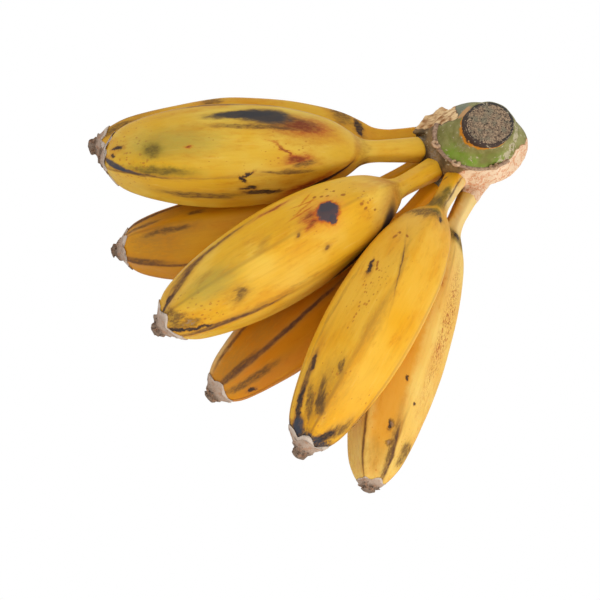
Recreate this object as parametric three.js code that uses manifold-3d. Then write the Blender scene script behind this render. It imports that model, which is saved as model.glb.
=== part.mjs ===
// A hand of seven saba bananas as it lies on a table.
// Millimetres, +Z up. The stalk stands upright on the Z axis of the working frame, the fingers
// fan out towards -X and -Y in two rows, and the lower row rests on the table at Z = 0.
import * as THREE from 'three';
import { mergeVertices } from 'three/addons/utils/BufferGeometryUtils.js';
import Module from 'manifold-3d';

const wasm = await Module();
wasm.setup();

// ---- driving dimensions ---------------------------------------------------------------------

const GAP = 0.3; // clear space between pieces that touch
const RIDGES = 5; // a saba finger has five blunt ridges with nearly flat faces between them
const STEPS_PER_FACE = 4;
const RIDGE_HEIGHT = 1.05; // how far a ridge stands out, as a share of the mean half-width
const FLATTEST = 0.19; // how far the middle of a wide, quite flat face lies below its ridges

// The fingers, in the order in which they leave the crown from its back round to its front.
// base and tip are the ends of a finger's centreline, rise and bow lift and push its middle,
// girth is its width across the belly, neck is where the pedicel ends as a share of its length,
// ridges are their angles round the finger in degrees from the top, nub is the length of the
// withered flower at its end, and fullness is how late the finger tapers to its tip.
const FINGERS = [
  {
    row: 'lower', base: [-30.5, 19, 16], tip: [-181.5, 15.2, 15.5], rise: 7.4, bow: 5, girth: 43.4,
    neck: 0.095, ridges: [-110, -38, 34, 106, 178], nub: 6.5, fullness: -0.5,
  },
  {
    row: 'upper', base: [-30.2, 2.4, 31], tip: [-175.3, -9.3, 41.6], rise: 20.6, bow: 14, girth: 45.7,
    neck: 0.161, ridges: [-118, -58, 45, 110, 175], nub: 4.2, fullness: 0.04,
  },
  {
    row: 'lower', base: [-29.9, 2.3, 15], tip: [-169.7, -41.5, 13], rise: 5.4, bow: 12.3, girth: 38.4,
    neck: 0.157, ridges: [-135, -64, 0, 62, 140], nub: 5, fullness: 0.2,
  },
  {
    row: 'upper', base: [-23.7, -8.7, 31], tip: [-146.3, -98.6, 42], rise: 24.2, bow: 11.3, girth: 42.4,
    neck: 0.157, ridges: [-132, -74, -13, 47, 130], nub: 6, fullness: 0.1,
  },
  {
    row: 'lower', base: [-22.7, -9.4, 15], tip: [-124.7, -117.4, 13], rise: 6.5, bow: 4.4, girth: 40.2,
    neck: 0.15, ridges: [-145, -78, -22, 36, 110], nub: 4.3, fullness: 0.1,
  },
  {
    row: 'upper', base: [-13.5, -14.6, 31], tip: [-84.4, -158.8, 42], rise: 21, bow: 4.2, girth: 41,
    neck: 0.149, ridges: [-145, -74, -12, 52, 130], nub: 6, fullness: 0.15,
  },
  {
    row: 'lower', base: [-5.5, -12.1, 15], tip: [-55.1, -163.5, 13], rise: 5.2, bow: -4.8, girth: 38.3,
    neck: 0.115, ridges: [-150, -86, -23, 26, 105], nub: 3.6, fullness: -0.12,
  },
];

// A finger's shape along its length. The pedicel ends at NECK, then the finger swells to its
// BELLY and tapers from there to a blunt tip, where its faces are flattest.
const NECK = 0.17;
const BELLY = 0.6;
const FINGER_OUTLINE = [
  // [share of the length, half-width as a share of half the girth, flatness of the faces]
  [0, 0.265, 0.45], [0.05, 0.244, 0.5], [0.1, 0.23, 0.55], [NECK, 0.222, 0.7], [0.21, 0.275, 0.72],
  [0.245, 0.42, 0.75], [0.3, 0.62, 0.68], [0.375, 0.79, 0.6], [0.465, 0.92, 0.55], [0.57, 0.985, 0.5],
  [0.66, 1, 0.52], [0.755, 0.945, 0.55], [0.83, 0.85, 0.7], [0.89, 0.745, 0.9], [0.945, 0.6, 1],
  [0.98, 0.42, 1], [1, 0.26, 0.7],
];

// Half-width of the withered flower, as shares of its length and of half the finger's girth.
const NUB_OUTLINE = [[0, 0.23], [0.35, 0.24], [0.6, 0.17], [0.85, 0.13], [1, 0.09]];
const NUB_SIDES = 12;
const NUB_AIM = 0.7; // share of the finger whose direction the withered flower keeps

// The crown is a short length of the bunch's stalk, cut off level at the top. It widens downwards
// to the scar ring, where the fingers start, and narrows again to the foot it stands on.
const CROWN_RINGS = [
  // [height, middle x, middle y, half-width in x, half-width in y]
  [0, -4.5, 11.5, 12.8, 11.8], [1.5, -4.5, 11.4, 13.8, 12.8], [6, -4.5, 11, 15.2, 14.2],
  [13, -4.5, 9.8, 17.4, 15.9], [22, -3.8, 7, 21, 18.3], [27, -3.5, 5, 23.8, 20.5], [31, -3, 4, 25, 21.6],
  [36, -3, 3.6, 23.8, 20.6], [40, -2.6, 3.9, 21, 19.6], [41.5, -2.2, 4, 19.6, 18.4], [46, -0.6, 4, 17, 16],
  [50.5, 0.9, 2.9, 13.8, 13.6], [53, 1.5, 1.9, 12.2, 13.1], [54, 1.7, 1.5, 11.4, 12.1],
];
// Knife cuts down its side, where the rest of the hand was cut away, given by a point on each cut,
// the direction it faces in degrees, and how far its top leans in.
const KNIFE_CUTS = [
  { point: [21.2, 1, 30], facing: -12, lean: 7 },
  { point: [15.1, -7.6, 30], facing: -36, lean: 7 },
  { point: [6, -12.8, 29], facing: -66, lean: 4 },
  { point: [-5, -16.7, 26], facing: -92, lean: 5 },
];
// The corners of the torn lump at the back, where a neighbouring hand broke off.
const TORN_LUMP = [
  [-33, 11, 32], [-27.5, 18.8, 34.5], [-19, 22, 37], [-14, 23, 36.5], [-24, 8, 38.5], [-13, 14, 42],
  [-28, 12, 24], [-20, 22, 25], [-12, 23, 26], [-10, 8, 30],
];
const CROWN_SIDES = 40;
const ROOT_DEPTH = 17; // how far a pedicel's root runs back into the crown
const ROOT_FLARE = 1.4; // and how much wider it is at its inner end
const ROOT_SIDES = 20;

// ---- shapes ---------------------------------------------------------------------------------

// Smooth value through a list of [position, value] points.
function smoothThrough(points, position) {
  const last = points.length - 2;
  let i = 0;
  while (i < last && position > points[i + 1][0]) i += 1;
  const slope = (k) => {
    const before = points[Math.max(k - 1, 0)];
    const after = points[Math.min(k + 1, points.length - 1)];
    return (after[1] - before[1]) / (after[0] - before[0]);
  };
  const span = points[i + 1][0] - points[i][0];
  const t = (position - points[i][0]) / span;
  const hermite = (2 * t ** 3 - 3 * t ** 2 + 1) * points[i][1] + (3 * t ** 2 - 2 * t ** 3) * points[i + 1][1];
  return hermite + span * ((t ** 3 - 2 * t ** 2 + t) * slope(i) + (t ** 3 - t ** 2) * slope(i + 1));
}

// Value on the straight lines between [position, value] points.
function straightThrough(points, position) {
  let i = 0;
  while (i < points.length - 2 && position > points[i + 1][0]) i += 1;
  const share = (position - points[i][0]) / (points[i + 1][0] - points[i][0]);
  return points[i][1] + share * (points[i + 1][1] - points[i][1]);
}

// The outline of a cut across a finger, for turn = 0 to 1 round it. Each face runs in equal steps
// from one ridge to the next, and its middle lies below them by more the flatter it is.
function crossSection(finger, turn, flatness) {
  const faces = turn * RIDGES;
  const face = Math.floor(faces + 1e-6);
  const t = faces - face;
  const from = finger.ridges[face % RIDGES] + 360 * Math.floor(face / RIDGES);
  const to = face + 1 < RIDGES ? finger.ridges[face + 1] : finger.ridges[0] + 360;
  const halfFace = THREE.MathUtils.degToRad(to - from) / 2;
  const depth = flatness * Math.min(1 - Math.cos(halfFace), FLATTEST) * (1 - (2 * t - 1) ** 2);
  return { angle: THREE.MathUtils.degToRad(from) + 2 * halfFace * t, reach: RIDGE_HEIGHT * (1 - depth) };
}

// Point on a finger's centreline: a straight chord, lifted by rise and pushed sideways by bow.
function centreline(finger, share) {
  const base = new THREE.Vector3(...finger.base);
  const chord = new THREE.Vector3(...finger.tip).sub(base);
  const sideways = new THREE.Vector3(-chord.y, chord.x, 0).normalize();
  const arch = 4 * share * (1 - share);
  return base.addScaledVector(chord, share)
    .addScaledVector(sideways, finger.bow * arch)
    .add(new THREE.Vector3(0, 0, finger.rise * arch));
}

// Directions at a point of the centreline: along it, up across it and sideways across it.
function directions(finger, share) {
  const step = 0.001;
  const from = centreline(finger, Math.max(share - step, 0));
  const along = centreline(finger, Math.min(share + step, 1)).sub(from).normalize();
  const up = new THREE.Vector3(0, 0, 1);
  up.addScaledVector(along, -up.dot(along)).normalize();
  return { along, up, side: new THREE.Vector3().crossVectors(along, up) };
}

// A lathe profile given as [share of length, radius], closed onto the axis at both ends.
function closedLathe(profile, sides) {
  const points = profile.map(([share, radius]) => new THREE.Vector2(radius, share));
  points.unshift(new THREE.Vector2(0, profile[0][0]));
  points.push(new THREE.Vector2(0, profile.at(-1)[0]));
  return new THREE.LatheGeometry(points, sides);
}

// Moves every vertex of a lathe to place(share, turn, radius), where turn runs from 0 to 1 round it.
function shaped(lathe, place) {
  const position = lathe.getAttribute('position');
  for (let i = 0; i < position.count; i += 1) {
    const [x, share, z] = [position.getX(i), position.getY(i), position.getZ(i)];
    const turn = Math.atan2(x, z) / (2 * Math.PI);
    const whole = turn < -1e-9 ? turn + 1 : Math.max(turn, 0);
    position.setXYZ(i, ...place(share, whole, Math.hypot(x, z)).toArray());
  }
  return welded(lathe);
}

function welded(geometry) {
  for (const name of ['normal', 'uv']) geometry.deleteAttribute(name);
  const whole = mergeVertices(geometry, 1e-5);
  const index = whole.getIndex().array;
  const kept = [];
  for (let i = 0; i < index.length; i += 3) {
    const [a, b, c] = [index[i], index[i + 1], index[i + 2]];
    if (a !== b && b !== c && c !== a) kept.push(a, b, c);
  }
  whole.setIndex(kept);
  return whole;
}

function solidOf(geometry) {
  const vertProperties = new Float32Array(geometry.getAttribute('position').array);
  const triVerts = new Uint32Array(geometry.getIndex().array);
  return new wasm.Manifold(new wasm.Mesh({ numProp: 3, vertProperties, triVerts }));
}

function geometryOf(solid) {
  const mesh = solid.getMesh();
  const geometry = new THREE.BufferGeometry();
  geometry.setAttribute('position', new THREE.BufferAttribute(mesh.vertProperties, 3));
  geometry.setIndex(new THREE.BufferAttribute(mesh.triVerts, 1));
  return geometry;
}

// ---- the fingers ----------------------------------------------------------------------------

// Where a share of the standard outline falls on a finger, whose pedicel may be longer or shorter
// and which may taper later or sooner.
function shareOnFinger(finger, share) {
  if (share < NECK) return (share / NECK) * finger.neck;
  const taper = Math.max(share - BELLY, 0) / (1 - BELLY);
  const later = share + finger.fullness * (1 - BELLY) * taper * (1 - taper);
  return finger.neck + ((later - NECK) / (1 - NECK)) * (1 - finger.neck);
}

// The finger's own solid, or with extra > 0 the same shape grown by that much.
function fingerGeometry(finger, extra = 0) {
  const length = new THREE.Vector3(...finger.tip).distanceTo(new THREE.Vector3(...finger.base));
  const profile = FINGER_OUTLINE.map(([share, width]) => (
    [shareOnFinger(finger, share), width * (finger.girth / 2) + extra]));
  profile[0][0] = -extra / length;
  const flatness = FINGER_OUTLINE.map(([share, , flat]) => [shareOnFinger(finger, share), flat]);
  return shaped(closedLathe(profile, RIDGES * STEPS_PER_FACE), (share, turn, radius) => {
    const { up, side } = directions(finger, Math.max(share, 0));
    const { angle, reach } = crossSection(finger, turn, straightThrough(flatness, share));
    return centreline(finger, share)
      .addScaledVector(up, radius * reach * Math.cos(angle))
      .addScaledVector(side, radius * reach * Math.sin(angle));
  });
}

// The withered flower that stays on the tip, a little clear of it. It lies flat against the
// finger's end and leans the way that the finger pointed before it curved down.
function nubGeometry(finger) {
  const profile = NUB_OUTLINE.map(([share, width]) => [share, width * (finger.girth / 2)]);
  const { along, up, side } = directions(finger, 1);
  const start = centreline(finger, 1).addScaledVector(along, GAP);
  const lean = directions(finger, NUB_AIM).along;
  return shaped(closedLathe(profile, NUB_SIDES), (share, turn, radius) => (
    start.clone()
      .addScaledVector(lean, share * finger.nub)
      .addScaledVector(up, radius * Math.cos(2 * Math.PI * turn))
      .addScaledVector(side, radius * Math.sin(2 * Math.PI * turn))));
}

// ---- the crown ------------------------------------------------------------------------------

function crownGeometry() {
  const heights = CROWN_RINGS.map(([height]) => [height, 1]);
  const ring = (column, height) => straightThrough(CROWN_RINGS.map((row) => [row[0], row[column]]), height);
  let crown = solidOf(shaped(closedLathe(heights, CROWN_SIDES), (height, turn, radius) => (
    new THREE.Vector3(
      ring(1, height) + radius * ring(3, height) * Math.cos(2 * Math.PI * turn),
      ring(2, height) + radius * ring(4, height) * Math.sin(2 * Math.PI * turn),
      height))));
  crown = crown.add(wasm.Manifold.hull(TORN_LUMP));
  for (const { point, facing, lean } of KNIFE_CUTS) {
    const inwards = new THREE.Vector3(-1, 0, 0)
      .applyAxisAngle(new THREE.Vector3(0, 1, 0), THREE.MathUtils.degToRad(-lean))
      .applyAxisAngle(new THREE.Vector3(0, 0, 1), THREE.MathUtils.degToRad(facing));
    crown = crown.trimByPlane(inwards.toArray(), inwards.dot(new THREE.Vector3(...point)));
  }
  for (const finger of FINGERS) crown = crown.add(solidOf(rootGeometry(finger)));
  for (const finger of FINGERS) crown = crown.subtract(solidOf(fingerGeometry(finger, GAP)));
  return geometryOf(crown);
}

// The root of a pedicel: it runs from the pedicel's end, a little clear of it, back into the crown.
function rootGeometry(finger) {
  const radius = FINGER_OUTLINE[0][1] * (finger.girth / 2);
  const { along, up, side } = directions(finger, 0);
  const inner = centreline(finger, 0).addScaledVector(along, -ROOT_DEPTH);
  const profile = [[0, radius * ROOT_FLARE], [1 - GAP / ROOT_DEPTH, radius * 0.95]];
  return shaped(closedLathe(profile, ROOT_SIDES), (share, turn, reach) => (
    inner.clone()
      .addScaledVector(along, share * ROOT_DEPTH)
      .addScaledVector(up, reach * Math.cos(2 * Math.PI * turn))
      .addScaledVector(side, reach * Math.sin(2 * Math.PI * turn))));
}

// ---- the hand -------------------------------------------------------------------------------

const PEEL = { color: 0xdcae3c, roughness: 0.55, metalness: 0 };
const WITHERED = { color: 0xb9a088, roughness: 0.9, metalness: 0 };
const STALK = { color: 0x7f8a52, roughness: 0.75, metalness: 0 };

const hand = new THREE.Group();

function addPiece(name, geometry, finish) {
  const piece = new THREE.Mesh(geometry, new THREE.MeshStandardMaterial(finish));
  piece.name = name;
  hand.add(piece);
}

addPiece('crown', crownGeometry(), STALK);
const counts = { lower: 0, upper: 0 };
for (const finger of FINGERS) {
  counts[finger.row] += 1;
  const label = `${finger.row}_${counts[finger.row]}`;
  addPiece(`finger_${label}`, fingerGeometry(finger), PEEL);
  addPiece(`blossom_end_${label}`, nubGeometry(finger), WITHERED);
}

// The origin is under the middle of the whole hand, on the table.
const box = new THREE.Box3().setFromObject(hand);
const middle = box.getCenter(new THREE.Vector3());
hand.position.set(-middle.x, -middle.y, -box.min.z);

export default hand;
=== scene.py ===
import math

import bmesh
import bpy
from mathutils import Matrix, Vector, noise


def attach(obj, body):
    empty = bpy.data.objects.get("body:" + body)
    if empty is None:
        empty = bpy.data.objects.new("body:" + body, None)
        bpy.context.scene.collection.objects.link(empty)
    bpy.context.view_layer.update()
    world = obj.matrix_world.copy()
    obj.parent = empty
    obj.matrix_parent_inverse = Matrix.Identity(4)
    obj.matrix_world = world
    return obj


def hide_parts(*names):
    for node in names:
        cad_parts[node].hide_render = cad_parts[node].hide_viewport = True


MM = 0.001
# The unevenness comes out the same every time.
noise.seed_set(1)

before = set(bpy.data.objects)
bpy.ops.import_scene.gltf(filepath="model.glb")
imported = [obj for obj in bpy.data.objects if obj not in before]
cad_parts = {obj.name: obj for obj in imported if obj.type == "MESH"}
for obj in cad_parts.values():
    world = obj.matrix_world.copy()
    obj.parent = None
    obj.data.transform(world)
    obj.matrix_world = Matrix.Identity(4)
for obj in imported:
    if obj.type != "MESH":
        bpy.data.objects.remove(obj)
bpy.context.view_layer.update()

# ---- Camera, table and light ----
# The hand lies on a plain white table and is looked down on from well above the front,
# with a long lens. The light is a broad soft window on the right and an even pale room.

# Every place on the hand is measured from here, the foot of the stalk's axis, in millimetres.
STALK = Vector((83.39, 66.92, 0))

AIM = STALK + Vector((-86, -78.9, 30))
CAMERA_DISTANCE = 1000
CAMERA_ELEVATION = math.radians(60)
LENS = 132

lens = bpy.data.cameras.new("camera")
lens.lens = LENS
lens.sensor_width = 36
camera = bpy.data.objects.new("camera", lens)
camera.location = MM * (AIM + CAMERA_DISTANCE * Vector((
    0, -math.cos(CAMERA_ELEVATION), math.sin(CAMERA_ELEVATION))))
camera.rotation_euler = (math.pi / 2 - CAMERA_ELEVATION, 0, 0)
bpy.context.scene.collection.objects.link(camera)
bpy.context.scene.camera = camera
bpy.context.scene.view_settings.view_transform = "Standard"


def colour(hex_code):
    """An sRGB hex colour as the linear values that shaders use."""
    parts = [int(hex_code[i:i + 2], 16) / 255 for i in (1, 3, 5)]
    return (*[p / 12.92 if p <= 0.04045 else ((p + 0.055) / 1.055) ** 2.4 for p in parts], 1)


def node(tree, kind, inputs=(), **settings):
    """Adds a node with its settings; inputs are (socket, value or the output that feeds it)."""
    added = tree.nodes.new(kind)
    for name, value in settings.items():
        setattr(added, name, value)
    for socket, value in inputs:
        if isinstance(value, bpy.types.NodeSocket):
            tree.links.new(value, added.inputs[socket])
        else:
            added.inputs[socket].default_value = value
    return added


def lamp(name, place, size, watts, tint):
    light = bpy.data.lights.new(name, "AREA")
    light.size = size
    light.energy = watts
    light.color = colour(tint)[:3]
    holder = bpy.data.objects.new(name, light)
    holder.location = place
    holder.rotation_euler = (-Vector(place)).to_track_quat("-Z", "Y").to_euler()
    bpy.context.scene.collection.objects.link(holder)


lamp("window", place=(0.6, -0.95, 0.47), size=0.7, watts=5.5, tint="#FFFBF4")

world = bpy.data.worlds.new("pale_room")
bpy.context.scene.world = world
world.use_nodes = True
tree = world.node_tree
tree.nodes.clear()
paths = node(tree, "ShaderNodeLightPath")
room_light = node(tree, "ShaderNodeBackground", [
    ("Color", colour("#FFFFFF")), ("Strength", 0.88)])
room_seen = node(tree, "ShaderNodeBackground", [("Color", colour("#FFFFFF")), ("Strength", 1.0)])
room = node(tree, "ShaderNodeMixShader", [
    (0, paths.outputs["Is Camera Ray"]), (1, room_light.outputs[0]), (2, room_seen.outputs[0])])
node(tree, "ShaderNodeOutputWorld", [("Surface", room.outputs[0])])


def new_material(name):
    material = bpy.data.materials.new(name)
    material.use_nodes = True
    material.node_tree.nodes.clear()
    return material


table_paint = new_material("white_table")
tree = table_paint.node_tree
paths = node(tree, "ShaderNodeLightPath")
matt = node(tree, "ShaderNodeBsdfDiffuse", [("Color", colour("#F0F0F0"))])
glow = node(tree, "ShaderNodeEmission", [("Color", colour("#FFFFFF")), ("Strength", 1.0)])
both = node(tree, "ShaderNodeMixShader", [
    (0, paths.outputs["Is Camera Ray"]), (1, matt.outputs[0]), (2, glow.outputs[0])])
node(tree, "ShaderNodeOutputMaterial", [("Surface", both.outputs[0])])

bm = bmesh.new()
bmesh.ops.create_circle(bm, cap_ends=True, radius=4, segments=96)
table_mesh = bpy.data.meshes.new("table_top")
bm.to_mesh(table_mesh)
bm.free()
table_mesh.materials.append(table_paint)
table = bpy.data.objects.new("table_top", table_mesh)
bpy.context.scene.collection.objects.link(table)

# ---- Fingers ----
# Each finger is one fruit with its pedicel, grown in one piece: a firm, waxy, five-ridged peel
# over soft flesh. It swells from the pedicel's neck and tapers to a blunt tip. Ripe peel is
# yellow, and darkens along its ridges and wherever it was knocked or rubbed.

RIDGES = 5
STEPS_PER_FACE = 16
RIDGE_HEIGHT = 1.05
FLATTEST = 0.19
NECK = 0.17
BELLY = 0.6
# The pedicel's ridges are rounder, and sharpen to the body's own over this share of the length.
PEDICEL_SOFTNESS = 0.45
SOFT_SHARE = 0.3
# Slight lumps in the peel, as a share of its distance from the centreline.
LUMPINESS = 0.014
# Half-width along the finger as a share of half its girth, and the flatness of its faces.
FINGER_OUTLINE = [
    (0, 0.265, 0.45), (0.05, 0.244, 0.5), (0.1, 0.23, 0.55), (NECK, 0.222, 0.7), (0.21, 0.275, 0.72),
    (0.245, 0.42, 0.75), (0.3, 0.62, 0.68), (0.375, 0.79, 0.6), (0.465, 0.92, 0.55),
    (0.57, 0.985, 0.5), (0.66, 1, 0.52), (0.755, 0.945, 0.55), (0.83, 0.85, 0.72), (0.89, 0.745, 0.95),
    (0.945, 0.6, 1.05), (0.98, 0.42, 1), (1, 0.26, 0.7),
]
FINGER_RINGS = 120
ROUNDED_END = 0.9


def smooth_through(points, position):
    """Smooth value at a position through a list of (position, value) points."""
    last = len(points) - 2
    i = 0
    while i < last and position > points[i + 1][0]:
        i += 1

    def slope(k):
        (x0, y0), (x1, y1) = points[max(k - 1, 0)], points[min(k + 1, len(points) - 1)]
        return (y1 - y0) / (x1 - x0)

    (start, low), (end, high) = points[i], points[i + 1]
    span = end - start
    t = (position - start) / span
    eased = (2 * t ** 3 - 3 * t ** 2 + 1) * low + (3 * t ** 2 - 2 * t ** 3) * high
    return eased + span * ((t ** 3 - 2 * t ** 2 + t) * slope(i) + (t ** 3 - t ** 2) * slope(i + 1))


class Finger:
    """One finger's shape. base and tip end its centreline, in millimetres from the foot of the
    stalk; rise and bow lift and push its middle; neck is the pedicel's share of its length; ridges
    are their angles round it in degrees from the top; nub is the withered flower's length;
    fullness is how late it tapers to its tip; and softness is how rounded its ridges are."""

    def __init__(self, name, base, tip, rise, bow, girth, neck, ridges, nub, fullness, softness):
        self.name = name
        self.base = STALK + Vector(base)
        self.chord = Vector(tip) - Vector(base)
        self.length = self.chord.length
        self.rise, self.bow, self.girth = rise, bow, girth
        self.neck, self.nub, self.softness = neck, nub, softness
        self.ridges = [*ridges, ridges[0] + 360]
        self.sideways = Vector((-self.chord.y, self.chord.x, 0)).normalized()
        self.outline, self.flatness = [], []
        for standard, width, flat in FINGER_OUTLINE:
            taper = max(standard - BELLY, 0) / (1 - BELLY)
            later = standard + fullness * (1 - BELLY) * taper * (1 - taper)
            if later < NECK:
                share = later / NECK * neck
            else:
                share = neck + (later - NECK) / (1 - NECK) * (1 - neck)
            self.outline.append((share, width * girth / 2))
            self.flatness.append((share, flat))

    def centre(self, share):
        arch = 4 * share * (1 - share)
        bend = self.sideways * self.bow * arch + Vector((0, 0, self.rise * arch))
        return self.base + self.chord * share + bend

    def directions(self, share):
        step = 0.001
        share = min(max(share, 0), 1)
        along = (self.centre(min(share + step, 1)) - self.centre(max(share - step, 0))).normalized()
        up = Vector((0, 0, 1))
        up = (up - along * up.dot(along)).normalized()
        return along, up, along.cross(up)

    def face(self, angle):
        """Which face an angle falls on, and how far across it, from 0 to 1."""
        degrees = self.ridges[0] + (math.degrees(angle) - self.ridges[0]) % 360
        face = 0
        while face < RIDGES - 1 and degrees >= self.ridges[face + 1]:
            face += 1
        start, end = self.ridges[face:face + 2]
        return face, (degrees - start) / (end - start)

    def ridge_nearness(self, angle):
        """1 on a ridge, 0 in the middle of a face."""
        return abs(2 * self.face(angle)[1] - 1)

    def reach(self, share, angle):
        """Distance from the centreline to the peel, at an angle from the top."""
        inside = min(max(share, 0), 1)
        width = smooth_through(self.outline, inside)
        flatness = smooth_through(self.flatness, inside)
        face, across = self.face(angle)
        half_face = math.radians(self.ridges[face + 1] - self.ridges[face]) / 2
        from_ridge = 1 - abs(2 * across - 1)
        pedicel = max(0, 1 - inside / SOFT_SHARE)
        softness = self.softness + (PEDICEL_SOFTNESS - self.softness) * pedicel
        from_ridge = (math.hypot(from_ridge, softness) - softness) / (math.hypot(1, softness) - softness)
        dip = flatness * min(1 - math.cos(half_face), FLATTEST) * from_ridge * (2 - from_ridge)
        return width * RIDGE_HEIGHT * (1 - dip)

    def place(self, share, angle, reach):
        along, up, side = self.directions(share)
        return self.centre(share) + up * reach * math.cos(angle) + side * reach * math.sin(angle)


def spun(profile, steps):
    """A profile of (distance along, radius) points turned once round the X axis."""
    bm = bmesh.new()
    line = [bm.verts.new((along, 0, radius)) for along, radius in profile]
    edges = [bm.edges.new(pair) for pair in zip(line, line[1:])]
    bmesh.ops.spin(bm, geom=line + edges, cent=(0, 0, 0), axis=(1, 0, 0), dvec=(0, 0, 0),
                   angle=math.tau, steps=steps, use_merge=True)
    bmesh.ops.remove_doubles(bm, verts=bm.verts, dist=1e-6)
    return bm


def on_spun(vert):
    """A vertex of a spun shape: how far along the axis, how far out, and its turn from 0 to 1."""
    _, y, z = vert.co
    return vert.co.x, math.hypot(y, z), math.atan2(-y, z) / math.tau % 1


def finished(bm, name, material, replaced=None):
    """Makes the shape an object of the hand, in metres, that moves with it."""
    bmesh.ops.recalc_face_normals(bm, faces=bm.faces)
    bmesh.ops.scale(bm, vec=(MM, MM, MM), verts=bm.verts)
    mesh = bpy.data.meshes.new(name)
    bm.to_mesh(mesh)
    bm.free()
    mesh.shade_smooth()
    mesh.materials.append(material)
    piece = bpy.data.objects.new(name, mesh)
    bpy.context.scene.collection.objects.link(piece)
    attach(piece, "root")
    if replaced:
        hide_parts(replaced)
    return piece


def ridged_angle(finger, turn):
    """Spreads even turns so that each face of a finger has the same number of steps."""
    face, across = divmod(turn * RIDGES + 1e-6, 1)
    start, end = finger.ridges[int(face):int(face) + 2]
    return math.radians(start + across * (end - start))


def grow_finger(finger, material):
    """A finger's skin, in which each vertex keeps its place on the straightened finger."""
    rings = [i / FINGER_RINGS for i in range(FINGER_RINGS + 1)]
    root = [(0, 0), (0, 0.5), (0, ROUNDED_END), (0.006, 1)]
    bm = spun(root + [(share, 1) for share in rings[1:]] + [(1.001, 0)], RIDGES * STEPS_PER_FACE)
    straight = bm.verts.layers.float_vector.new("straight")
    ridge = bm.verts.layers.float.new("ridge")
    for vert in bm.verts:
        share, radius, turn = on_spun(vert)
        angle = ridged_angle(finger, turn)
        reach = finger.reach(share, angle) * radius
        lump = Vector((share * 5, math.cos(angle) * 1.3, math.sin(angle) * 1.3))
        reach *= 1 + LUMPINESS * noise.noise(lump + finger.base)
        vert[straight] = (share * finger.length * MM,
                          -reach * math.sin(angle) * MM, reach * math.cos(angle) * MM)
        vert[ridge] = finger.ridge_nearness(angle)
        vert.co = finger.place(share, angle, reach)
    return finished(bm, finger.name + "_peel", material, finger.name)


# Shader steps shared by every surface of the hand.

def noise_of(tree, where, scale, detail=3, roughness=0.5):
    return node(tree, "ShaderNodeTexNoise", [
        ("Vector", where), ("Scale", scale), ("Detail", detail), ("Roughness", roughness)]).outputs["Fac"]


def ranged(tree, value, low, high, top=1.0):
    """0 where the value is at low, rising smoothly to top where it is at high."""
    return node(tree, "ShaderNodeMapRange", [
        ("Value", value), ("From Min", low), ("From Max", high), ("To Max", top)],
        interpolation_type="SMOOTHSTEP").outputs[0]


def maths(tree, operation, *values):
    return node(tree, "ShaderNodeMath", enumerate(values), operation=operation).outputs[0]


def product(tree, first, second):
    return maths(tree, "MULTIPLY", first, second)


def total(tree, first, second):
    return maths(tree, "ADD", first, second)


def mixed(tree, amount, low, high):
    """The low colour where the amount is 0, passing into the high one where it is 1."""
    low, high = (colour(tint) if isinstance(tint, str) else tint for tint in (low, high))
    return node(tree, "ShaderNodeMix", [(0, amount), (6, low), (7, high)],
                data_type="RGBA").outputs[2]


def painted(tree, under, tint, cover):
    """The tint laid over what is under it."""
    return mixed(tree, cover, under, tint)


def stretched(tree, where, scale):
    return node(tree, "ShaderNodeMapping", [("Vector", where), ("Scale", scale)]).outputs[0]


def surfaced(tree, shade, rough, height, strength, depth, more=()):
    """Ends a material: its colour, its roughness and a relief up to depth metres high."""
    bump = node(tree, "ShaderNodeBump", [
        ("Height", height), ("Strength", strength), ("Distance", depth)]).outputs[0]
    shader = node(tree, "ShaderNodeBsdfPrincipled", [
        ("Base Color", shade), ("Roughness", rough), ("Normal", bump), *more])
    node(tree, "ShaderNodeOutputMaterial", [("Surface", shader.outputs[0])])


def attribute(tree, name):
    return node(tree, "ShaderNodeAttribute", attribute_name=name)


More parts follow.
